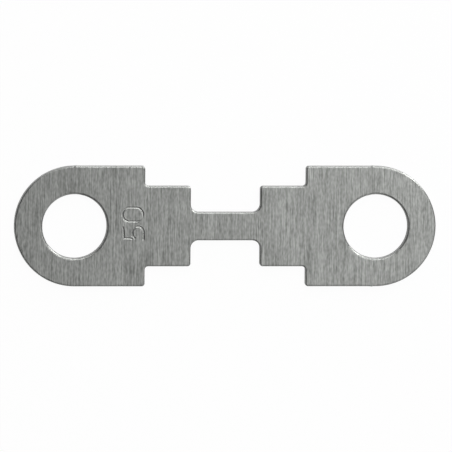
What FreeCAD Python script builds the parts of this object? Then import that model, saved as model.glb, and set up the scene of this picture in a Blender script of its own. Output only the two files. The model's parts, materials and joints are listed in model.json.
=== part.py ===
"""Bolt-down strip fuse: one blanked metal strip with a stepped waist that melts on overload.

Frame: X runs along the strip, Y across it and Z up through its thickness. The origin is the
middle of the underside, which lies on the terminals. The top face is the punch side, so its
edges are rolled over, and the underside keeps a fine broken edge. Sizes are in millimetres.
"""

import FreeCAD, Part
import os
import Sketcher

NODE = "fuse_strip"
SHEET = "Dimensions"
CLOSE = 1e-4

DIMENSIONS = (
    ("hole_spacing", 30.0, "between the centres of the two bolt holes"),
    ("hole_diameter", 6.4, "bolt hole, clear of an M6 stud"),
    ("strip_width", 12.0, "width of the strip and diameter of its rounded ends"),
    ("thickness", 0.8, "sheet thickness"),
    ("tab_gap", 16.0, "between the inner ends of the two tabs"),
    ("shoulder_width", 8.0, "width of the shoulders, between tabs and link"),
    ("link_length", 6.9, "between the inner ends of the two shoulders"),
    ("link_width", 2.8, "width of the fuse link, which sets the rating"),
    ("notch_overrun", 1.5, "how far the notching punch stands out past the strip's side"),
    ("link_fillet", 0.8, "inner corners where the link meets a shoulder"),
    ("step_fillet", 0.35, "inner corners where a shoulder meets a tab"),
    ("corner_radius", 0.3, "outer corners of tabs and shoulders"),
    ("outline_roll", 0.17, "rolled edge that the punch draws along the outline"),
    ("hole_roll", 0.22, "rolled edge that the punch draws round a bolt hole"),
    ("edge_break", 0.04, "broken edge round the underside"),
)


def fill_sheet(doc):
    """Writes the driving dimensions into a spreadsheet, one alias for each."""
    sheet = doc.addObject("Spreadsheet::Sheet", SHEET)
    for row, (alias, value, meaning) in enumerate(DIMENSIONS, start=1):
        sheet.set(f"A{row}", alias)
        sheet.set(f"B{row}", str(value))
        sheet.set(f"C{row}", meaning)
        sheet.setAlias(f"B{row}", alias)
    doc.recompute()
    return sheet


def origin_plane(body, role):
    """The body's own origin plane with that role, such as XY_Plane."""
    return next(item for item in body.Origin.OriginFeatures if item.Role == role)


def new_sketch(body, name):
    """An empty sketch on the body's XY plane, which is the underside of the strip."""
    sketch = body.newObject("Sketcher::SketchObject", name)
    sketch.AttachmentSupport = [(origin_plane(body, "XY_Plane"), "")]
    sketch.MapMode = "FlatFace"
    return sketch


def drive(sketch, kind, references, name, formula):
    """Adds a named dimension to a sketch and binds it to a formula on the spreadsheet."""
    value = float(sketch.evalExpression(formula))
    index = sketch.addConstraint(Sketcher.Constraint(kind, *references, value))
    sketch.renameConstraint(index, name)
    sketch.setExpression(f"Constraints.{name}", formula)


def point(x, y):
    """A point of a sketch."""
    return FreeCAD.Vector(x, y, 0)


def draw_blank(sketch, sheet):
    """Round-ended strip: two straight sides joined by an arc about each bolt hole's centre."""
    reach = sheet.hole_spacing / 2
    radius = sheet.strip_width / 2
    top = sketch.addGeometry(Part.LineSegment(point(reach, radius), point(-reach, radius)))
    left = sketch.addGeometry(
        Part.Arc(point(-reach, radius), point(-reach - radius, 0), point(-reach, -radius)))
    bottom = sketch.addGeometry(Part.LineSegment(point(-reach, -radius), point(reach, -radius)))
    right = sketch.addGeometry(
        Part.Arc(point(reach, -radius), point(reach + radius, 0), point(reach, radius)))
    for first, first_end, second, second_end in (
            (top, 2, left, 1), (left, 2, bottom, 1), (bottom, 2, right, 1), (right, 2, top, 1)):
        sketch.addConstraint(Sketcher.Constraint("Tangent", first, first_end, second, second_end))
    sketch.addConstraint(Sketcher.Constraint("Horizontal", top))
    sketch.addConstraint(Sketcher.Constraint("Symmetric", left, 3, right, 3, -1, 1))
    drive(sketch, "DistanceX", (left, 3, right, 3), "centres", f"{SHEET}.hole_spacing")
    drive(sketch, "Radius", (right,), "end_radius", f"{SHEET}.strip_width / 2")


def draw_bolt_hole(sketch, sheet):
    """The bolt hole in the +X tab, on the strip's centre line."""
    circle = Part.Circle(point(sheet.hole_spacing / 2, 0), FreeCAD.Vector(0, 0, 1),
                         sheet.hole_diameter / 2)
    hole = sketch.addGeometry(circle)
    sketch.addConstraint(Sketcher.Constraint("PointOnObject", hole, 3, -1))
    drive(sketch, "DistanceX", (-1, 1, hole, 3), "reach", f"{SHEET}.hole_spacing / 2")
    drive(sketch, "Diameter", (hole,), "bore", f"{SHEET}.hole_diameter")


def draw_notch(sketch, sheet):
    """The stepped notch in the +Y side: wide down to the shoulders, narrow down to the link."""
    tab = sheet.tab_gap / 2
    shoulder = sheet.link_length / 2
    mouth = sheet.strip_width / 2 + sheet.notch_overrun
    step = sheet.shoulder_width / 2
    root = sheet.link_width / 2
    corners = ((-tab, mouth), (-tab, step), (-shoulder, step), (-shoulder, root),
               (shoulder, root), (shoulder, step), (tab, step), (tab, mouth))
    sides = [sketch.addGeometry(Part.LineSegment(point(*start), point(*end)))
             for start, end in zip(corners, corners[1:] + corners[:1])]
    for side, following in zip(sides, sides[1:] + sides[:1]):
        sketch.addConstraint(Sketcher.Constraint("Coincident", side, 2, following, 1))
    left_tab, left_step, left_shoulder, link, right_shoulder, right_step, right_tab, lid = sides
    for side in (left_step, right_step, lid):
        sketch.addConstraint(Sketcher.Constraint("Horizontal", side))
    for side in (left_tab, left_shoulder, right_shoulder, right_tab):
        sketch.addConstraint(Sketcher.Constraint("Vertical", side))
    for first, second in ((left_step, right_step), (link, link)):
        sketch.addConstraint(Sketcher.Constraint("Symmetric", first, 1, second, 2, -2))
    drive(sketch, "DistanceX", (left_step, 1, right_step, 2), "tab_gap", f"{SHEET}.tab_gap")
    drive(sketch, "DistanceX", (link, 1, link, 2), "link_length", f"{SHEET}.link_length")
    drive(sketch, "DistanceY", (-1, 1, link, 2), "link_side", f"{SHEET}.link_width / 2")
    drive(sketch, "DistanceY", (-1, 1, right_step, 2), "shoulder_side",
          f"{SHEET}.shoulder_width / 2")
    drive(sketch, "DistanceY", (-1, 1, right_tab, 2), "mouth",
          f"{SHEET}.strip_width / 2 + {SHEET}.notch_overrun")


def cut_through(body, sketch, name):
    """Cuts a sketch up through the whole sheet and makes sure that it took metal away."""
    before = body.Tip.Shape.Volume
    pocket = body.newObject("PartDesign::Pocket", name)
    pocket.Profile = sketch
    pocket.Type = "ThroughAll"
    pocket.Reversed = True
    body.Document.recompute()
    if pocket.Shape.Volume > before - CLOSE:
        raise RuntimeError(f"{name} cuts nothing")
    return pocket


def mirror(body, feature, role, name):
    """Repeats a feature on the other side of one of the body's origin planes."""
    copy = body.newObject("PartDesign::Mirrored", name)
    copy.Originals = [feature]
    copy.MirrorPlane = (origin_plane(body, role), [""])
    body.Tip = copy
    body.Document.recompute()
    return copy


def edges_where(shape, test):
    """Names of the shape's edges that pass a test."""
    return [f"Edge{i}" for i, edge in enumerate(shape.Edges, start=1) if test(edge)]


def upright_at(x, y):
    """Test for upright edges that stand that far along and across from the middle."""
    def test(edge):
        box = edge.BoundBox
        upright = box.XLength < CLOSE and box.YLength < CLOSE
        return upright and abs(abs(box.Center.x) - x) < CLOSE and abs(abs(box.Center.y) - y) < CLOSE
    return test


def lies_at(height):
    """Test for edges that lie flat at a height above the underside."""
    def test(edge):
        box = edge.BoundBox
        return abs(box.ZMin - height) < CLOSE and abs(box.ZMax - height) < CLOSE
    return test


def is_hole_rim(edge):
    """Whether the edge is the full circle round a bolt hole."""
    return edge.isClosed()


def dress(body, kind, name, edges, size_property, alias):
    """Adds a fillet or chamfer on the tip's named edges, with its size from the spreadsheet."""
    base = body.Tip
    if not edges:
        raise RuntimeError(f"{name} finds no edge")
    feature = body.newObject(kind, name)
    feature.Base = (base, edges)
    feature.setExpression(size_property, f"{SHEET}.{alias}")
    body.Document.recompute()
    return feature


def blank_strip(body, sheet):
    """The round-ended strip with its two bolt holes and the stepped notch in both sides."""
    outline = new_sketch(body, "BlankOutline")
    draw_blank(outline, sheet)
    pad = body.newObject("PartDesign::Pad", "Blank")
    pad.Profile = outline
    pad.setExpression("Length", f"{SHEET}.thickness")
    body.Document.recompute()

    hole_outline = new_sketch(body, "BoltHoleOutline")
    draw_bolt_hole(hole_outline, sheet)
    hole = cut_through(body, hole_outline, "BoltHole")
    mirror(body, hole, "YZ_Plane", "BoltHoles")

    notch_outline = new_sketch(body, "NotchOutline")
    draw_notch(notch_outline, sheet)
    notch = cut_through(body, notch_outline, "Notch")
    mirror(body, notch, "XZ_Plane", "Notches")


def round_corners(body, sheet):
    """Rounds the upright corners of the link, the shoulders and the tabs."""
    tab = sheet.tab_gap / 2
    shoulder = sheet.link_length / 2
    side = sheet.strip_width / 2
    step = sheet.shoulder_width / 2
    root = sheet.link_width / 2
    for name, places, alias in (
            ("LinkFillets", ((shoulder, root),), "link_fillet"),
            ("StepFillets", ((tab, step),), "step_fillet"),
            ("OuterCorners", ((shoulder, step), (tab, side)), "corner_radius")):
        shape = body.Tip.Shape
        edges = [edge for place in places for edge in edges_where(shape, upright_at(*place))]
        dress(body, "PartDesign::Fillet", name, edges, "Radius", alias)


def finish_edges(body, sheet):
    """Rolls the edges of the top face over and breaks those of the underside."""
    on_top = lies_at(sheet.thickness)
    rims = edges_where(body.Tip.Shape, lambda edge: on_top(edge) and is_hole_rim(edge))
    dress(body, "PartDesign::Fillet", "HoleRolls", rims, "Radius", "hole_roll")
    outline = edges_where(body.Tip.Shape, lambda edge: on_top(edge) and not is_hole_rim(edge))
    dress(body, "PartDesign::Fillet", "OutlineRoll", outline, "Radius", "outline_roll")
    underside = edges_where(body.Tip.Shape, lies_at(0))
    dress(body, "PartDesign::Chamfer", "EdgeBreak", underside, "Size", "edge_break")


def build_fuse_strip(doc, sheet):
    """The whole fuse as one body, blanked, rounded and edge-finished."""
    body = doc.addObject("PartDesign::Body", NODE)
    body.Label = NODE
    body.Placement = FreeCAD.Placement()
    blank_strip(body, sheet)
    round_corners(body, sheet)
    finish_edges(body, sheet)
    return body


def check(doc, parts):
    """Stops if an object of the document failed or a piece is not one sound solid."""
    failed = [item.Name for item in doc.Objects if {"Invalid", "Error"} & set(item.State)]
    if failed:
        raise RuntimeError(f"failed objects: {failed}")
    for part in parts:
        shape = part.Shape
        if shape.isNull() or not shape.isValid() or len(shape.Solids) != 1:
            raise RuntimeError(f"{part.Label} is not one valid solid")


def write(parts):
    """Writes each piece to its own STEP file and prints its size and volume."""
    os.makedirs("parts", exist_ok=True)
    for part in parts:
        part.Shape.exportStep(f"parts/{part.Label}.step")
        box = part.Shape.optimalBoundingBox(False)
        print(f"{part.Label}: {box.XLength:.3f} x {box.YLength:.3f} x {box.ZLength:.3f} mm, "
              f"{part.Shape.Volume:.2f} mm3")


def main():
    """Builds the document, checks it and writes the piece."""
    doc = FreeCAD.newDocument("BoltDownStripFuse")
    sheet = fill_sheet(doc)
    parts = [build_fuse_strip(doc, sheet)]
    doc.recompute()
    check(doc, parts)
    write(parts)


main()
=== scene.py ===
"""Looks of a bolt-down strip fuse: one strip of sheet metal, blanked, pierced and stamped.

The strip lies on a pale floor with its punch side up, and the camera looks down on it. It is one
closed surface worked out on a grid: each half of the strip is seen from the centre of its own bolt
hole, where its outline runs once round, so a column of the grid goes from the hole's rim out to the
outline, down the blanked edge, back in along the underside and up the hole's wall. Lengths are in
metres, and MM turns the millimetres of a drawing into them.
"""

import json
import logging
from dataclasses import dataclass
from enum import Enum
from math import pi, radians, tan
from typing import Sequence, Union

import bpy
import numpy as np
from mathutils import Matrix, Vector


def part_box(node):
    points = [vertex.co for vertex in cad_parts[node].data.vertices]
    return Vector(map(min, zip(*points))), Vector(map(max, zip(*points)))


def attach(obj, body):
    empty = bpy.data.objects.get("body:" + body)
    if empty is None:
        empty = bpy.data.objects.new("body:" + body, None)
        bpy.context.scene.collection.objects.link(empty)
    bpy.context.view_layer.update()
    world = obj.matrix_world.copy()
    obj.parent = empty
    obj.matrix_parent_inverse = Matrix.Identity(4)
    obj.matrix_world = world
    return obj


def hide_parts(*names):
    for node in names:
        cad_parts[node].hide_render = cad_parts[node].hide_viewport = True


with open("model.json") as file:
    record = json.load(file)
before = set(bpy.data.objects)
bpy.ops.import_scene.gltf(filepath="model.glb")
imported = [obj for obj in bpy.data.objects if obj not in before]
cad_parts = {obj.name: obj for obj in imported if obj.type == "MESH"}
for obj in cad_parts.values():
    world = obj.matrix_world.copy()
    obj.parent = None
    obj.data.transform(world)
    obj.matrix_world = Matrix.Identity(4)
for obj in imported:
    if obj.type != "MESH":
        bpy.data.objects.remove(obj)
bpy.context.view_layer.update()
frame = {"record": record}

LOG = logging.getLogger("strip_fuse")
MM = 0.001
NANOMETRE = 1e-9
# The value about which a noise swings, and the tone halfway between two shades.
MIDDLE = 0.5
NODE = "fuse_strip"
BODY = "root"
OUTLINE_ROLL = 0.17 * MM
HOLE_ROLL = 0.22 * MM
Colour = tuple[float, float, float]


class Half(Enum):
    """The two halves of the strip; the value is the side of the middle on which one lies."""

    LEFT = -1
    RIGHT = 1


class Side(Enum):
    """The two long sides of the strip; the value is the sign of Y there."""

    BACK = 1
    FRONT = -1


@dataclass(frozen=True)
class StripOutline:
    """Outline of the strip's right half, from the seam at the middle round the tab and back.

    The outline is a chain of legs that each run straight or turn evenly. All bends but the tab's
    rounded end turn through a right angle.
    """

    width: float
    hole_reach: float
    hole_radius: float
    tab_gap: float = 16.0 * MM
    shoulder_width: float = 8.0 * MM
    link_length: float = 6.9 * MM
    link_width: float = 2.8 * MM
    link_fillet: float = 0.8 * MM
    step_fillet: float = 0.35 * MM
    corner_radius: float = 0.3 * MM

    def legs(self) -> np.ndarray:
        """Length and turn of each leg, counter-clockwise from the front end of the seam.

        Returns:
            One row for each leg: its length and its turn in radians, positive to the left.
        """
        quarter = pi / 2
        link = self.link_length / 2
        shoulder = (self.shoulder_width - self.link_width) / 2
        step = (self.tab_gap - self.link_length) / 2
        tab = (self.width - self.shoulder_width) / 2
        side = self.hole_reach - self.tab_gap / 2
        front = [
            (link - self.link_fillet, 0.0),
            (quarter * self.link_fillet, -quarter),
            (shoulder - self.link_fillet - self.corner_radius, 0.0),
            (quarter * self.corner_radius, quarter),
            (step - self.corner_radius - self.step_fillet, 0.0),
            (quarter * self.step_fillet, -quarter),
            (tab - self.step_fillet - self.corner_radius, 0.0),
            (quarter * self.corner_radius, quarter),
            (side - self.corner_radius, 0.0),
        ]
        rounded_end = [(pi * self.width / 2, pi)]
        return np.array(front + rounded_end + front[::-1])

    def breaks(self) -> np.ndarray:
        """Distances along the outline at which one leg ends and the next begins."""
        return np.concatenate(([0.0], np.cumsum(self.legs()[:, 0])))

    def trace(self, run: np.ndarray) -> tuple[np.ndarray, np.ndarray]:
        """Points of the outline and its outward normals at distances along it.

        After a distance s, a leg that bends by k for each metre has moved s * sin(ks/2) / (ks/2)
        in the direction that lies half its turn past its first heading. Straight legs have k = 0.

        Args:
            run: distances from the front end of the seam.

        Returns:
            The points and the unit normals, one row of x and y for each distance.
        """
        lengths, turns = self.legs().T
        bends = turns / lengths
        headings = np.concatenate(([0.0], np.cumsum(turns)[:-1]))

        def chord(index: np.ndarray, distance: np.ndarray) -> np.ndarray:
            half_turn = bends[index] * distance / 2
            reach = distance * np.sinc(half_turn / pi)
            heading = headings[index] + half_turn
            return np.column_stack((reach * np.cos(heading), reach * np.sin(heading)))

        every = np.arange(len(lengths))
        starts = np.array((0.0, -self.link_width / 2)) + np.vstack(
            (np.zeros((1, 2)), np.cumsum(chord(every, lengths), axis=0)[:-1]))
        breaks = self.breaks()
        leg = np.clip(np.searchsorted(breaks, run, side="right") - 1, 0, len(lengths) - 1)
        along = run - breaks[leg]
        points = starts[leg] + chord(leg, along)
        heading = headings[leg] + bends[leg] * along
        return points, np.column_stack((np.sin(heading), -np.cos(heading)))

    def bearing(self, points: np.ndarray) -> np.ndarray:
        """Angles of points about the hole's centre, from the way to the seam towards the back."""
        return np.arctan2(points[:, 1], self.hole_reach - points[:, 0])

    def side_run(self, side: Side, x: np.ndarray) -> np.ndarray:
        """Distances along the outline to places on a tab's straight side.

        Args:
            side: the long side that the places are on.
            x: how far each place is from the strip's middle.

        Returns:
            One distance from the front end of the seam for each place.
        """
        breaks = self.breaks()
        middle = len(breaks) // 2
        if side is Side.FRONT:
            return breaks[middle - 1] - (self.hole_reach - x)
        return breaks[middle] + (self.hole_reach - x)


@dataclass(frozen=True)
class BlankedEdge:
    """Section of a blanked edge: a roll that the punch drew, an upright wall and a broken foot."""

    thickness: float
    roll: float
    foot: float = 0.04 * MM
    roll_steps: int = 9
    wall_steps: int = 5

    def section(self, roll: np.ndarray) -> tuple[np.ndarray, np.ndarray]:
        """Section from the rim of the top face down to the rim of the underside.

        The roll is a quarter circle: after an angle a it is roll * (1 - sin a) in from the wall
        and roll * (1 - cos a) below the top face. The wall goes straight down from it to the
        foot, which slopes in by its own height.

        Args:
            roll: radius of the roll at each column of the grid.

        Returns:
            Insets from the wall and heights, one row for each column, one column for each ring.
        """
        turn = np.linspace(0, pi / 2, self.roll_steps + 1)
        drop = np.linspace(0, 1, self.wall_steps + 1)[1:]
        radius = roll[:, None]
        wall_top = self.thickness - radius
        insets = np.hstack((radius * (1 - np.sin(turn)), np.zeros((len(roll), self.wall_steps)),
                            np.full_like(radius, self.foot)))
        heights = np.hstack((wall_top + radius * np.cos(turn),
                             wall_top + (self.foot - wall_top) * drop, np.zeros_like(radius)))
        return insets, heights


@dataclass(frozen=True)
class StampedNumber:
    """The rating number 50, pressed into the left tab to be read up the picture.

    A place on a digit is given by its reach along the line of writing, which runs towards the
    back, and by its rise from the foot of the digits, which runs away from the middle. The punch
    hit a little askew, so the nought fades out round one spot.
    """

    foot_x: float = -8.14 * MM
    zero_drop: float = 0.08 * MM
    five_y: float = -1.23 * MM
    zero_y: float = 0.49 * MM
    height: float = 2.03 * MM
    five_width: float = 1.22 * MM
    zero_width: float = 1.38 * MM
    bar_length: float = 1.16 * MM
    bar_rise: float = 1.94 * MM
    bar_tilt: float = 0.11 * MM
    stem_tilt: float = 0.05 * MM
    bowl_rise: float = 1.12 * MM
    bowl_reach: float = 0.66 * MM
    stem_foot: float = 1.15 * MM
    shoulder_start: tuple[float, float] = (0.06 * MM, 0.89 * MM)
    shoulder_end: float = 0.3 * MM
    tail_end: float = -0.06 * MM
    groove: float = 0.105 * MM
    depth: float = 0.043 * MM
    lip: float = 0.004 * MM
    faint_spot: tuple[float, float] = (-8.36 * MM, 0.78 * MM)
    faint_spread: float = 0.42 * MM
    margin: float = 0.22 * MM
    turn_points: int = 25

    def strokes(self) -> list[np.ndarray]:
        """Centre lines of the grooves, each a row of points.

        The nought is a stadium: two straight sides joined by half circles. The five is a bar, a
        stem and a bowl, which is a bent shoulder, a half ellipse and a straight tail.

        Returns:
            Arrays of x and y.
        """
        turn = np.linspace(-pi / 2, pi / 2, self.turn_points)
        bowl = self.bowl_rise / 2
        bar = np.array(((self.bar_length, self.bar_rise + self.bar_tilt),
                        (self.stem_tilt, self.bar_rise), (0.0, self.stem_foot)))
        bowl_start = self.five_width - self.bowl_reach
        curve = np.column_stack((bowl_start + self.bowl_reach * np.cos(turn[::-1]),
                                 bowl + bowl * np.sin(turn[::-1])))
        shoulder = np.array((self.shoulder_start, (self.shoulder_end, self.bowl_rise)))
        tail = np.array(((self.tail_end, 0.0),))
        radius = self.zero_width / 2
        top = np.column_stack((radius - radius * np.sin(turn),
                               self.height - radius + radius * np.cos(turn)))
        foot = np.column_stack((radius + radius * np.sin(turn), radius - radius * np.cos(turn)))
        ring = np.vstack((top, foot, top[:1])) + (0.0, self.zero_drop)
        return [self.placed(bar, self.five_y),
                self.placed(np.vstack((shoulder, curve, tail)), self.five_y),
                self.placed(ring, self.zero_y)]

    def placed(self, points: np.ndarray, start: float) -> np.ndarray:
        """Turns reach and rise on a digit that starts at a given y into x and y on the strip."""
        return np.column_stack((self.foot_x - points[:, 1], start + points[:, 0]))

    def distance(self, points: np.ndarray) -> np.ndarray:
        """Distance of each point to the nearest centre line.

        A point's distance to one straight bit of a line is taken to the nearest place on it,
        which is its foot on the bit, held between the two ends.

        Args:
            points: rows of x and y.

        Returns:
            One distance for each point.
        """
        nearest = np.full(len(points), np.inf)
        for stroke in self.strokes():
            starts = stroke[:-1]
            spans = stroke[1:] - starts
            offset = points[:, None, :] - starts[None, :, :]
            share = (offset * spans).sum(axis=2) / (spans ** 2).sum(axis=1)
            gap = offset - np.clip(share, 0, 1)[:, :, None] * spans
            nearest = np.minimum(nearest, np.sqrt((gap ** 2).sum(axis=2)).min(axis=1))
        return nearest

    def relief(self, points: np.ndarray) -> np.ndarray:
        """Height of the top face above its plane at each point.

        Across a groove, the floor follows minus the square of a cosine that reaches nought at its
        brim. Beyond the brim, the metal that the punch pushed out stands up as a half sine. Both
        are scaled by one less a bell curve about the faint spot.

        Args:
            points: rows of x and y.

        Returns:
            One height for each point, below nought in a groove.
        """
        height = np.zeros(len(points))
        low = np.array((self.foot_x - self.height - self.zero_drop, self.five_y)) - self.margin
        high = np.array((self.foot_x, self.zero_y + self.zero_width)) + self.margin
        near = ((points > low) & (points < high)).all(axis=1)
        across = self.distance(points[near]) / self.groove
        cut = -self.depth * np.cos(np.clip(across, 0, 1) * pi / 2) ** 2
        brim = self.lip * np.sin(np.clip(across - 1, 0, 1) * pi)
        from_spot = np.linalg.norm(points[near] - np.array(self.faint_spot), axis=1)
        strike = 1 - np.exp(-(from_spot / self.faint_spread) ** 2)
        height[near] = (cut + brim) * strike
        return height

    def window(self, hole_reach: float) -> tuple[float, float, float, float]:
        """The part of the tab that the number takes, as seen from the bolt hole's centre.

        Args:
            hole_reach: distance from the strip's middle to the hole's centre.

        Returns:
            The first and last bearing and the nearest and farthest radius.
        """
        near = hole_reach + self.foot_x - self.height - self.zero_drop - self.margin
        far = hole_reach + self.foot_x + self.margin
        front = self.five_y - self.margin
        back = self.zero_y + self.zero_width + self.margin
        reach = max(abs(front), abs(back))
        first = np.arctan2(front, near)
        last = np.arctan2(back, near)
        return float(first), float(last), near, float(np.hypot(far, reach))


@dataclass(frozen=True)
class CutMark:
    """A little tooth on a tab's side, where the punch for the end met the one for the side.

    It stands at x, counted from the strip's middle towards the end of its half. It is a bell
    curve along the side, and columns of the grid cross it out to a few times its spread.
    """

    half: Half
    side: Side
    x: float
    proud: float = 0.025 * MM
    spread: float = 0.12 * MM
    flattening: float = 0.5
    reach: float = 3.0
    column_count: int = 19

    def places(self) -> np.ndarray:
        """Distances from the strip's middle at which columns of the grid cross the mark."""
        return self.x + np.linspace(-self.reach, self.reach, self.column_count) * self.spread


@dataclass(frozen=True)
class FuseStrip:
    """The whole fuse: both halves of the strip, with their edges, holes, marks and number.

    Steps and gaps set how close the grid's columns and rings lie. Supports are rings close to
    the rims, which keep the flat faces flat where the shading turns smoothly into a roll.
    """

    outline: StripOutline
    edge: BlankedEdge
    hole_edge: BlankedEdge
    number: StampedNumber = StampedNumber()
    marks: Sequence[CutMark] = (
        CutMark(Half.RIGHT, Side.BACK, 14.64 * MM),
        CutMark(Half.RIGHT, Side.FRONT, 14.64 * MM),
        CutMark(Half.LEFT, Side.BACK, 14.9 * MM),
    )
    fine: float = 0.033 * MM
    straight_step: float = 1.0 * MM
    turn_step: float = radians(7.5)
    end_turn_step: float = radians(2.25)
    least_gap: float = 0.002 * MM
    support: float = 0.012 * MM
    tracing_points: int = 20001
    plain_rings: int = 6
    rings_before_number: int = 3
    rings_past_number: int = 5
    free_knots: tuple[float, float] = (0.35, 0.9)
    roll_waver: float = 0.05
    waver_along: float = 2.3 * MM
    waver_across: float = 1.7 * MM
    waver_lead: float = 1.0
    sharp_angle: float = radians(30)

    def runs(self) -> np.ndarray:
        """Distances along the outline of a half at which the grid's columns meet it.

        Columns stand at the ends of the legs, at even steps between them, close together by the
        cut marks, and so close in view of the number that its grooves come out smooth.

        Returns:
            Distances in rising order.
        """
        breaks = self.outline.breaks()
        legs = self.outline.legs()
        radius = self.outline.width / 2
        parts = [breaks]
        for start, end, (length, turn) in zip(breaks, breaks[1:], legs):
            step = self.end_turn_step if length > radius * pi / 2 and turn else self.turn_step
            count = int(np.ceil(abs(turn) / step if turn else length / self.straight_step))
            parts.append(np.linspace(start, end, count + 1))
        for mark in self.marks:
            parts.append(self.outline.side_run(mark.side, mark.places()))
        first, last, _, far = self.number.window(self.outline.hole_reach)
        dense = np.linspace(breaks[0], breaks[-1], self.tracing_points)
        bearing = np.unwrap(self.outline.bearing(self.outline.trace(dense)[0]))
        wanted = np.arange(first, last, self.fine / far)
        parts.append(self.run_at(dense, bearing, wanted))
        runs = np.unique(np.concatenate(parts))
        return runs[np.diff(runs, prepend=-np.inf) > self.least_gap]

    def run_at(self, dense: np.ndarray, bearing: np.ndarray, wanted: np.ndarray) -> np.ndarray:
        """Distances along the outline at wanted bearings, where the outline has them.

        Args:
            dense: distances along the whole outline, close together.
            bearing: the bearing at each of them, which falls all the way round.
            wanted: bearings between minus and plus half a turn.

        Returns:
            Distances for the wanted bearings that lie on the outline and not on the seam.
        """
        front = wanted[wanted < bearing[0]]
        back = wanted[wanted > bearing[-1] + 2 * pi] - 2 * pi
        falling = np.concatenate((front, back))
        return np.interp(-falling, -bearing, dense)

    def columns(self, half: Half) -> tuple[np.ndarray, np.ndarray, np.ndarray, int]:
        """Where the columns of a half meet the outline or the seam.

        The roll's radius wavers by the product of a sine along the strip and one across it. A cut
        mark moves the outline out by a bell curve and flattens the roll there. The seam is treated
        as a stretch of edge whose normal at a share s of the link's half width is s long and
        points across the strip, so that an inset narrows the seam evenly.

        Args:
            half: the half, for its cut marks.

        Returns:
            Points, normals, radii of the roll, and how many columns stand on the outline.
        """
        runs = self.runs()
        points, normals = self.outline.trace(runs)
        waver = (np.sin(points[:, 0] / self.waver_along)
                 * np.sin(points[:, 1] / self.waver_across + self.waver_lead))
        roll = self.edge.roll * (1 + self.roll_waver * waver)
        for mark in self.marks:
            if mark.half is half:
                along = runs - self.outline.side_run(mark.side, np.array(mark.x))
                bump = np.exp(-(along / mark.spread) ** 2)
                points = points + normals * (mark.proud * bump)[:, None]
                roll = roll * (1 - mark.flattening * bump)
        half_width = self.outline.link_width / 2
        far = self.number.window(self.outline.hole_reach)[3]
        count = int(np.ceil(2 * half_width / (self.fine / far * self.outline.hole_reach)))
        share = np.linspace(1, -1, count + 1)[1:-1]
        nought = np.zeros_like(share)
        seam = np.column_stack((nought, share * half_width))
        seam_normals = np.column_stack((nought, share))
        seam_roll = roll[-1] + (roll[0] - roll[-1]) * (1 - share) / 2
        return (np.vstack((points, seam)), np.vstack((normals, seam_normals)),
                np.concatenate((roll, seam_roll)), len(runs))

    def rings(self, inner: np.ndarray, outer: np.ndarray, numbered: bool) -> np.ndarray:
        """Radii of a face's rings on each column, from the hole's rim to the outline's.

        The radii run evenly between a few knots. On the face with the number, two knots bound the
        number where a column crosses it, and the rings between them lie close together. On the
        other columns there, the two knots stand at set shares of the column.

        Args:
            inner: radius of the hole's rim on each column.
            outer: radius of the outline's rim on each column.
            numbered: whether the face carries the number.

        Returns:
            One row for each column.
        """
        if numbered:
            _, _, near, far = self.number.window(self.outline.hole_reach)
            crosses = outer > far + self.number.margin
            first, last = (inner + share * (outer - inner) for share in self.free_knots)
            knots = (inner, inner + self.support, np.where(crosses, near, first),
                     np.where(crosses, far, last), outer - self.support, outer)
            counts = (1, self.rings_before_number, int(np.ceil((far - near) / self.fine)),
                      self.rings_past_number, 1)
        else:
            knots = (inner, inner + self.support, outer - self.support, outer)
            counts = (1, self.plain_rings, 1)
        steps = [low[:, None] + (high - low)[:, None] * np.linspace(0, 1, count, endpoint=False)
                 for low, high, count in zip(knots, knots[1:], counts)]
        return np.hstack((*steps, outer[:, None]))

    def face(self, inner: np.ndarray, outer: np.ndarray, numbered: bool) -> np.ndarray:
        """Points of a flat face, on straight columns from the hole's rim to the outline's.

        Args:
            inner: points of the hole's rim, one for each column.
            outer: points of the outline's rim.
            numbered: whether the face carries the number.

        Returns:
            Points by column and ring, as x and y.
        """
        centre = np.array((self.outline.hole_reach, 0.0))
        inner_radius = np.linalg.norm(inner - centre, axis=1)
        outer_radius = np.linalg.norm(outer - centre, axis=1)
        radii = self.rings(inner_radius, outer_radius, numbered)
        share = (radii - inner_radius[:, None]) / (outer_radius - inner_radius)[:, None]
        return inner[:, None, :] + (outer - inner)[:, None, :] * share[:, :, None]

    def half_grid(self, half: Half) -> tuple[np.ndarray, np.ndarray]:
        """The surface of one half, without its seam, as points and four-cornered faces.

        A column goes round its section once: out along the top face, down the edge's band, back
        along the underside and up the hole's band. Both the columns and the rings close on
        themselves. The left half is worked out as the right one and mirrored.

        Args:
            half: the half to work out.

        Returns:
            Points as x, y and z, and the indices of each face's corners, seen from outside.
        """
        points, normals, roll, edge_columns = self.columns(half)
        centre = np.array((self.outline.hole_reach, 0.0))
        from_centre = points - centre
        spokes = from_centre / np.linalg.norm(from_centre, axis=1)[:, None]

        insets, heights = self.edge.section(roll)
        outer_band = points[:, None, :] - normals[:, None, :] * insets[:, :, None]
        hole_roll = np.full(len(points), self.hole_edge.roll)
        hole_insets, hole_heights = self.hole_edge.section(hole_roll)
        hole_radii = self.outline.hole_radius + hole_insets
        hole_band = centre + spokes[:, None, :] * hole_radii[:, :, None]

        numbered = half is Half.LEFT
        mirror = np.array((half.value, 1.0))
        top = self.face(hole_band[:, 0], outer_band[:, 0], numbered)
        under = self.face(hole_band[:, -1], outer_band[:, -1], numbered=False)[:, ::-1]
        top_heights = np.full(top.shape[:2], self.edge.thickness)
        if numbered:
            relief = self.number.relief((top * mirror).reshape(-1, 2))
            top_heights = top_heights + relief.reshape(top.shape[:2])

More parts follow.
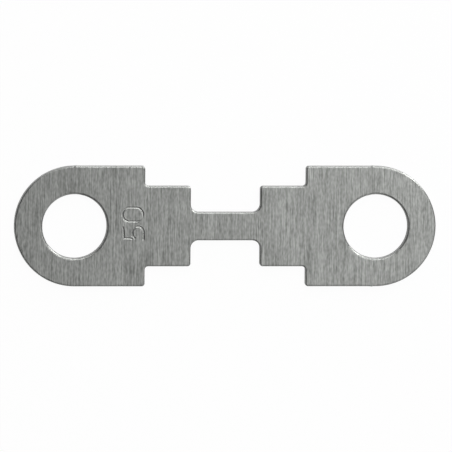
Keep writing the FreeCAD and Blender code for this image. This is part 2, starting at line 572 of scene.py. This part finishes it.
        flat = np.concatenate((top, outer_band[:, 1:], under[:, 1:], hole_band[:, -2:0:-1]), axis=1)
        rise = np.concatenate((top_heights, heights[:, 1:], np.zeros(under[:, 1:].shape[:2]),
                               hole_heights[:, -2:0:-1]), axis=1)
        grid = np.concatenate((flat * mirror, rise[:, :, None]), axis=2)

        count, rings = grid.shape[:2]
        column, ring = np.meshgrid(np.arange(count), np.arange(rings), indexing="ij")
        next_column = (column + 1) % count
        next_ring = (ring + 1) % rings
        corners = np.stack((column * rings + ring, column * rings + next_ring,
                            next_column * rings + next_ring, next_column * rings + ring), axis=2)
        if half is Half.LEFT:
            corners = corners[:, :, ::-1]
        # The two halves meet at the seam, so the edge's band has no faces there.
        on_band = (ring >= top.shape[1] - 1) & (ring < top.shape[1] + insets.shape[1] - 2)
        on_seam = column >= edge_columns - 1
        return grid.reshape(-1, 3), corners[~(on_band & on_seam)]

    def surface(self) -> tuple[np.ndarray, np.ndarray]:
        """The closed surface of the whole strip: both halves, joined where they meet.

        Returns:
            Points as x, y and z, and the indices of each face's four corners.
        """
        right_points, right_faces = self.half_grid(Half.RIGHT)
        left_points, left_faces = self.half_grid(Half.LEFT)
        points = np.vstack((right_points, left_points))
        faces = np.vstack((right_faces, left_faces + len(right_points)))
        used, faces = np.unique(faces, return_inverse=True)
        faces = faces.reshape(-1, 4)
        whole_nanometres = np.round(points[used] / NANOMETRE).astype(np.int64)
        _, keep, merged = np.unique(whole_nanometres, axis=0, return_index=True,
                                    return_inverse=True)
        return points[used][keep], merged.reshape(-1)[faces]

    def build(self) -> bpy.types.Object:
        """Makes the mesh object, shaded smooth but for the sharp edges of its foot.

        Returns:
            The strip's object, without its metal yet.
        """
        points, faces = self.surface()
        mesh = bpy.data.meshes.new("fuse_strip_metal")
        mesh.from_pydata(points, [], faces.tolist())
        mesh.shade_smooth()
        mesh.set_sharp_from_angle(angle=self.sharp_angle)
        mesh.validate()
        piece = bpy.data.objects.new("fuse_strip_metal", mesh)
        bpy.context.scene.collection.objects.link(piece)
        return piece

    def dress(self, piece: bpy.types.Object) -> None:
        """Gives the piece its metal, sets it on its body and hides the imported part it stands in
        for.

        Args:
            piece: the strip's object.
        """
        finish = SheetFinish(self.edge.thickness, self.edge.roll, self.edge.foot)
        piece.data.materials.append(finish.material())
        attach(piece, BODY)
        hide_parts(NODE)


class Signal:
    """A socket of a shader graph that Python's operators combine through Math nodes."""

    def __init__(self, graph: "ShaderGraph", socket: bpy.types.NodeSocket) -> None:
        """Keeps the socket and the graph that new nodes go into."""
        self.graph = graph
        self.socket = socket

    def math(self, operation: str, *values: "Value") -> "Signal":
        """Puts values through one Math node.

        Args:
            operation: the node's operation.
            values: its inputs, in order.

        Returns:
            The node's result.
        """
        return self.graph.add("ShaderNodeMath", {"operation": operation},
                              dict(enumerate(values)))

    def __add__(self, other: "Value") -> "Signal":
        """self + other"""
        return self.math("ADD", self, other)

    def __radd__(self, other: "Value") -> "Signal":
        """other + self"""
        return self.math("ADD", other, self)

    def __sub__(self, other: "Value") -> "Signal":
        """self - other"""
        return self.math("SUBTRACT", self, other)

    def __rsub__(self, other: "Value") -> "Signal":
        """other - self"""
        return self.math("SUBTRACT", other, self)

    def __mul__(self, other: "Value") -> "Signal":
        """self * other"""
        return self.math("MULTIPLY", self, other)

    def __rmul__(self, other: "Value") -> "Signal":
        """other * self"""
        return self.math("MULTIPLY", other, self)

    def clamp(self) -> "Signal":
        """The value held between nought and one."""
        return self.graph.add("ShaderNodeClamp", {}, {"Value": self})

    def ramp(self, low: float, high: float) -> "Signal":
        """Rises smoothly from nought at low to one at high, or falls where high is the lower."""
        return self.graph.add("ShaderNodeMapRange", {"interpolation_type": "SMOOTHSTEP"},
                              {"Value": self, "From Min": low, "From Max": high})


Value = Union[Signal, float, Sequence[float]]


@dataclass(frozen=True)
class Grain:
    """One layer of smooth noise on the metal, and how much it counts for.

    The cell is the size of one grain along X, Y and Z, and the shift moves the pattern, so that
    layers of like size differ. The detail is how many finer noises are laid over the first, and
    the roughness how strong each of them is beside the one before. Tone and relief are the
    layer's weights in the colour and in the height of the scratches.
    """

    cell: tuple[float, float, float]
    tone: float = 0.0
    relief: float = 0.0
    shift: float = 0.0
    detail: float = 0.0
    roughness: float = 0.5

    def toned(self, noise: Signal) -> Signal:
        """The layer's part in the tone: its noise taken about nought, times its weight."""
        return self.tone * (noise - MIDDLE)

    def raised(self, noise: Signal) -> Signal:
        """The layer's part in the height of the scratches."""
        return self.relief * noise


class ShaderGraph:
    """The node tree of a material or a world, filled by expressions."""

    def __init__(self, tree: bpy.types.NodeTree) -> None:
        """Empties the tree.

        Args:
            tree: the tree to fill.
        """
        self.tree = tree
        tree.nodes.clear()

    def add(self, kind: str, settings: dict, inputs: dict, output: Union[int, str] = 0) -> Signal:
        """Adds one node.

        Args:
            kind: the node's type.
            settings: its properties, which are set first because they choose its sockets.
            inputs: a value or a link for each named or numbered socket.
            output: name or number of the socket to return.

        Returns:
            The output as a signal.
        """
        node = self.tree.nodes.new(kind)
        for name, value in settings.items():
            setattr(node, name, value)
        for key, value in inputs.items():
            socket = self.pick(node.inputs, key)
            if isinstance(value, Signal):
                self.tree.links.new(value.socket, socket)
            else:
                socket.default_value = value
        if not len(node.outputs):
            return Signal(self, None)
        return Signal(self, self.pick(node.outputs, output))

    def pick(self, sockets: bpy.types.bpy_prop_collection,
             key: Union[int, str]) -> bpy.types.NodeSocket:
        """Finds one of a node's sockets.

        Args:
            sockets: the node's inputs or its outputs.
            key: the socket's number, or the name of one that is in use.

        Returns:
            The socket.
        """
        if isinstance(key, int):
            return sockets[key]
        return next(socket for socket in sockets if socket.enabled and socket.name == key)

    def place(self) -> Signal:
        """Position on the piece, in metres from the strip's origin."""
        return self.add("ShaderNodeTexCoord", {}, {}, "Object")

    def noise(self, place: Signal, grain: Grain) -> Signal:
        """Smooth noise about a half.

        Args:
            place: where on the piece.
            grain: the layer that the noise is for.

        Returns:
            The noise, mostly between 0.2 and 0.8.
        """
        scaled = self.add("ShaderNodeVectorMath", {"operation": "MULTIPLY_ADD"},
                          {0: place, 1: tuple(1 / size for size in grain.cell),
                           2: (grain.shift,) * 3})
        return self.add("ShaderNodeTexNoise", {},
                        {"Vector": scaled, "Scale": 1.0, "Detail": grain.detail,
                         "Roughness": grain.roughness})

    def blend(self, share: Value, first: Value, second: Value) -> Signal:
        """A colour that goes from the first to the second with the share."""
        return self.add("ShaderNodeMix", {"data_type": "RGBA"},
                        {"Factor": share, "A": opaque(first), "B": opaque(second)}, "Result")


def opaque(colour: Value) -> Value:
    """Gives a plain colour its fourth value; a signal stays as it is."""
    return colour if isinstance(colour, Signal) else (*colour, 1.0)


def shades(colour: Colour, contrast: float) -> tuple[list[float], list[float]]:
    """A darker and a lighter shade of a colour, which differ from it by a share of it.

    Args:
        colour: the colour between the two.
        contrast: the share.

    Returns:
        The darker shade and the lighter one.
    """
    return [(1 - contrast) * part for part in colour], [(1 + contrast) * part for part in colour]


@dataclass(frozen=True)
class SheetFinish:
    """Rolled sheet, brushed across the strip, with burnished rolls and torn walls.

    Fine streaks about a tenth of a millimetre wide run along Y on both faces, over longer and
    broader ones. The rolls and the grooves of the number are smoother and lighter, with fainter
    streaks. The walls have upright scratches where the punch sheared them, and are rough and dull
    below, where the metal tore. The depths at which the burnish and the wall set in are shares of
    the roll's radius, and the wall's look ends within the height of the foot.
    """

    thickness: float
    roll: float
    foot: float
    dark_streak: Colour = (0.158, 0.163, 0.155)
    light_streak: Colour = (0.422, 0.430, 0.416)
    sheared_wall: Colour = (0.36, 0.363, 0.357)
    torn_wall: Colour = (0.23, 0.232, 0.227)
    sheared_contrast: float = 0.25
    torn_contrast: float = 0.4
    burnish_gain: float = 1.3
    burnish_calm: float = 0.6
    burnish_depths: tuple[float, float] = (0.05, 0.2)
    wall_depths: tuple[float, float] = (0.3, 0.5)
    foot_share: float = 0.2
    face_roughness: float = 0.38
    roll_roughness: float = 0.27
    torn_roughness: float = 0.62
    streak_roughness: float = 0.25
    sheared_metallic: float = 0.15
    torn_metallic: float = 0.05
    tear_height: float = 0.42 * MM
    tear_waver: float = 0.3 * MM
    tear_blur: float = 0.02 * MM
    fine_streak: Grain = Grain((0.12 * MM, 1.2 * MM, 1.0 * MM), tone=1.3, relief=1.0, detail=2.0,
                               roughness=0.6)
    short_streak: Grain = Grain((0.15 * MM, 0.36 * MM, 1.0 * MM), tone=0.6, relief=0.3, shift=11.9)
    long_streak: Grain = Grain((0.14 * MM, 5.0 * MM, 1.0 * MM), tone=1.05, relief=0.6, shift=7.3,
                               detail=1.0)
    broad_streak: Grain = Grain((1.3 * MM, 9.0 * MM, 3.0 * MM), tone=0.25, shift=3.1)
    upright_scratch: Grain = Grain((0.05 * MM, 0.05 * MM, 2.0 * MM), tone=0.8, relief=0.8,
                                   detail=1.0)
    torn_grain: Grain = Grain((0.09 * MM, 0.09 * MM, 0.07 * MM), tone=1.2, relief=2.0, shift=5.7,
                              detail=2.0)
    tear_edge: Grain = Grain((0.4 * MM, 0.4 * MM, 0.4 * MM))
    streak_depth: float = 0.0022 * MM

    def sets_in(self, height: Signal, depths: tuple[float, float]) -> Signal:
        """Rises from nought to one between two depths under the face, as shares of the roll."""
        start, full = depths
        return height.ramp(self.thickness - start * self.roll, self.thickness - full * self.roll)

    def material(self) -> bpy.types.Material:
        """Makes the material from the object coordinates alone.

        Returns:
            The material of the whole strip.
        """
        material = bpy.data.materials.new("brushed_fuse_metal")
        material.use_nodes = True
        graph = ShaderGraph(material.node_tree)
        place = graph.place()
        height = graph.add("ShaderNodeSeparateXYZ", {}, {"Vector": place}, "Z")

        fine = graph.noise(place, self.fine_streak)
        short = graph.noise(place, self.short_streak)
        long = graph.noise(place, self.long_streak)
        broad = graph.noise(place, self.broad_streak)
        scratch = graph.noise(place, self.upright_scratch)
        grain = graph.noise(place, self.torn_grain)

        rolled = self.sets_in(height, self.burnish_depths)
        walled = (self.sets_in(height, self.wall_depths)
                  * height.ramp(self.foot_share * self.foot, self.foot))
        tear = height + self.tear_waver * (graph.noise(place, self.tear_edge) - MIDDLE)
        torn = walled * tear.ramp(self.tear_height + self.tear_blur,
                                  self.tear_height - self.tear_blur)

        streak = (self.fine_streak.toned(fine) + self.short_streak.toned(short)
                  + self.long_streak.toned(long) + self.broad_streak.toned(broad))
        face_tone = (MIDDLE + streak * (1 - self.burnish_calm * rolled)).clamp()
        gain = 1 + (self.burnish_gain - 1) * rolled
        face = graph.add("ShaderNodeVectorMath", {"operation": "SCALE"},
                         {"Vector": graph.blend(face_tone, self.dark_streak, self.light_streak),
                          "Scale": gain})
        wall_tone = (MIDDLE + self.upright_scratch.toned(scratch)).clamp()
        sheared = graph.blend(wall_tone, *shades(self.sheared_wall, self.sheared_contrast))
        torn_tone = (MIDDLE + self.torn_grain.toned(grain)).clamp()
        torn_colour = graph.blend(torn_tone, *shades(self.torn_wall, self.torn_contrast))
        colour = graph.blend(torn, graph.blend(walled, face, sheared), torn_colour)

        roughness = (self.face_roughness
                     + self.streak_roughness * (fine - MIDDLE) * (1 - rolled)
                     + (self.roll_roughness - self.face_roughness) * rolled
                     + (self.torn_roughness - self.roll_roughness) * torn)
        metallic = (1.0 - (1.0 - self.sheared_metallic) * walled
                    - (self.sheared_metallic - self.torn_metallic) * torn)
        brushed = (self.fine_streak.raised(fine) + self.long_streak.raised(long)
                   + self.short_streak.raised(short))
        relief = (brushed * (1 - rolled)
                  + self.upright_scratch.raised(scratch) * walled * (1 - torn)
                  + self.torn_grain.raised(grain) * torn)
        bump = graph.add("ShaderNodeBump", {}, {"Height": relief, "Strength": 1.0,
                                                "Distance": self.streak_depth})
        metal = graph.add("ShaderNodeBsdfPrincipled", {},
                          {"Base Color": colour, "Roughness": roughness.clamp(),
                           "Metallic": metallic, "Specular IOR Level": 0.0, "Normal": bump})
        graph.add("ShaderNodeOutputMaterial", {}, {"Surface": metal})
        return material


@dataclass(frozen=True)
class PaleFloorFinish:
    """White matt floor that shows as white itself, and darker where the object shades it."""

    albedo: float = 0.93
    own_white: float = 0.96

    def material(self) -> bpy.types.Material:
        """Makes the floor's material.

        To the camera and in reflections, a share of the floor is plain white of strength one. The
        rest is matt and takes the lamps' light, so the object's shadow stays.

        Returns:
            The material.
        """
        material = bpy.data.materials.new("pale_floor")
        material.use_nodes = True
        graph = ShaderGraph(material.node_tree)
        matt = graph.add("ShaderNodeBsdfDiffuse", {}, {"Color": opaque((self.albedo,) * 3)})
        white = graph.add("ShaderNodeEmission", {}, {"Color": opaque((1.0, 1.0, 1.0)),
                                                     "Strength": 1.0})
        seen = (graph.add("ShaderNodeLightPath", {}, {}, "Is Camera Ray")
                + graph.add("ShaderNodeLightPath", {}, {}, "Is Glossy Ray")
                + graph.add("ShaderNodeLightPath", {}, {}, "Is Transmission Ray")).clamp()
        mixed = graph.add("ShaderNodeMixShader", {}, {0: self.own_white * seen, 1: matt, 2: white})
        graph.add("ShaderNodeOutputMaterial", {}, {"Surface": mixed})
        return material


@dataclass(frozen=True)
class Softbox:
    """A flat rectangular lamp of even brightness that faces one point."""

    name: str
    place: tuple[float, float, float]
    aim: tuple[float, float, float]
    width: float
    height: float
    radiance: float

    def hang(self) -> bpy.types.Object:
        """Makes the lamp, with the power that gives its face the wanted radiance.

        Returns:
            The lamp's object, which the camera doesn't see.
        """
        lamp = bpy.data.lights.new(self.name, "AREA")
        lamp.shape = "RECTANGLE"
        lamp.size = self.width
        lamp.size_y = self.height
        lamp.energy = self.radiance * pi * self.width * self.height
        softbox = bpy.data.objects.new(self.name, lamp)
        softbox.location = self.place
        direction = Vector(self.aim) - Vector(self.place)
        softbox.rotation_euler = direction.to_track_quat("-Z", "Y").to_euler()
        softbox.visible_camera = False
        bpy.context.scene.collection.objects.link(softbox)
        return softbox


@dataclass(frozen=True)
class Studio:
    """Floor, surrounding light and lamps: bright above and behind, dim in front and to the left."""

    floor_size: float = 8.0
    floor_drop: float = 0.02 * MM
    sky: float = 0.12
    floor: PaleFloorFinish = PaleFloorFinish()
    lamps: Sequence[Softbox] = (
        Softbox("overhead_softbox", (0.09, 0.14, 0.26), (0.09, 0.14, 0.0), 0.12, 0.30, 3.1),
        Softbox("near_overhead_softbox", (0.07, -0.06, 0.26), (0.07, -0.06, 0.0), 0.19, 0.09, 1.1),
        Softbox("high_right_softbox", (0.38, 0.0, 0.46), (0.0, 0.0, 0.0), 0.17, 0.27, 1.3),
        Softbox("back_softbox", (-0.08, 0.38, 0.36), (0.0, 0.0, 0.0), 0.32, 0.22, 3.2),
        Softbox("corner_softbox", (0.28, 0.26, 0.11), (0.0, 0.0, 0.0), 0.16, 0.16, 5.4),
        Softbox("low_back_softbox", (0.19, 0.40, 0.07), (0.0, 0.0, 0.0), 0.46, 0.13, 4.0),
        Softbox("low_front_softbox", (0.20, -0.34, 0.21), (0.0, 0.0, 0.05), 0.52, 0.26, 0.8),
        Softbox("low_left_softbox", (-0.40, -0.18, 0.08), (0.0, 0.0, 0.0), 0.60, 0.11, 0.4),
    )

    def lay_floor(self) -> bpy.types.Object:
        """Lays a wide flat floor just under the strip.

        Returns:
            The floor's object.
        """
        half = self.floor_size / 2
        mesh = bpy.data.meshes.new("pale_floor")
        level = -self.floor_drop
        corners = [(-half, -half, level), (half, -half, level), (half, half, level),
                   (-half, half, level)]
        mesh.from_pydata(corners, [], [(0, 1, 2, 3)])
        mesh.materials.append(self.floor.material())
        floor = bpy.data.objects.new("pale_floor", mesh)
        bpy.context.scene.collection.objects.link(floor)
        return floor

    def surround(self) -> bpy.types.World:
        """Makes the surroundings, evenly dim.

        Returns:
            The scene's world.
        """
        world = bpy.data.worlds.new("studio_surround")
        world.use_nodes = True
        bpy.context.scene.world = world
        graph = ShaderGraph(world.node_tree)
        sky = graph.add("ShaderNodeBackground", {}, {"Color": opaque((self.sky,) * 3),
                                                     "Strength": 1.0})
        graph.add("ShaderNodeOutputWorld", {}, {"Surface": sky})
        return world

    def build(self) -> None:
        """Makes the floor, the surroundings and the lamps."""
        self.lay_floor()
        self.surround()
        for lamp in self.lamps:
            lamp.hang()


@dataclass(frozen=True)
class Viewpoint:
    """The photograph's camera: far off, almost square above the strip, leaning back and left.

    It sees nothing nearer or farther than the near and the far share of its distance.
    """

    distance: float = 0.75
    near_share: float = 0.01
    far_share: float = 100.0
    lean_back: float = radians(6.2)
    lean_left: float = radians(4.5)
    sensor: float = 36.0
    view_width: float = 44.89 * MM
    centre_x: float = 0.05 * MM
    centre_y: float = 0.05 * MM

    def build(self, top: float) -> bpy.types.Object:
        """Makes the camera and gives it to the scene.

        Args:
            top: height of the strip's highest point, which the camera is aimed at.

        Returns:
            The camera's object.
        """
        camera = bpy.data.cameras.new("photo_camera")
        camera.sensor_width = self.sensor
        camera.lens = self.sensor * self.distance / self.view_width
        camera.clip_start = self.distance * self.near_share
        camera.clip_end = self.distance * self.far_share
        back = Vector((-tan(self.lean_left), tan(self.lean_back), 1.0)).normalized()
        upward = back.cross(Vector((1.0, 0.0, 0.0))).normalized()
        right = upward.cross(back)
        target = Vector((self.centre_x, self.centre_y, top))
        viewer = bpy.data.objects.new("photo_camera", camera)
        turn = Matrix((right, upward, back)).transposed().to_4x4()
        viewer.matrix_world = Matrix.Translation(target + back * self.distance) @ turn
        bpy.context.scene.collection.objects.link(viewer)
        bpy.context.scene.camera = viewer
        return viewer


def build_strip() -> bpy.types.Object:
    """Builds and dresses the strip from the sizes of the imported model.

    Returns:
        The finished piece.
    """
    low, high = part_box(NODE)
    holes = next(mount for mount in frame["record"]["mounts"] if mount["name"] == "stud_holes")
    outline = StripOutline(width=high.y - low.y,
                           hole_reach=holes["dims"]["spacing_x_mm"] * MM / 2,
                           hole_radius=holes["dims"]["hole_r_mm"] * MM)
    thickness = high.z - low.z
    strip = FuseStrip(outline, BlankedEdge(thickness, OUTLINE_ROLL),
                      BlankedEdge(thickness, HOLE_ROLL))
    piece = strip.build()
    strip.dress(piece)
    return piece


def main() -> None:
    """Builds the strip, the studio and the camera, in that order."""
    logging.basicConfig(level=logging.INFO, format="%(name)s: %(message)s")
    strip = build_strip()
    LOG.info("%s: %d faces", strip.name, len(strip.data.polygons))
    studio = Studio()
    studio.build()
    LOG.info("studio: %d lamps", len(studio.lamps))
    viewer = Viewpoint().build(top=max(corner[2] for corner in strip.bound_box))
    LOG.info("camera: %.0f mm lens", viewer.data.lens)
    bpy.context.scene.view_settings.view_transform = "Standard"


if __name__ == "__main__":
    main()
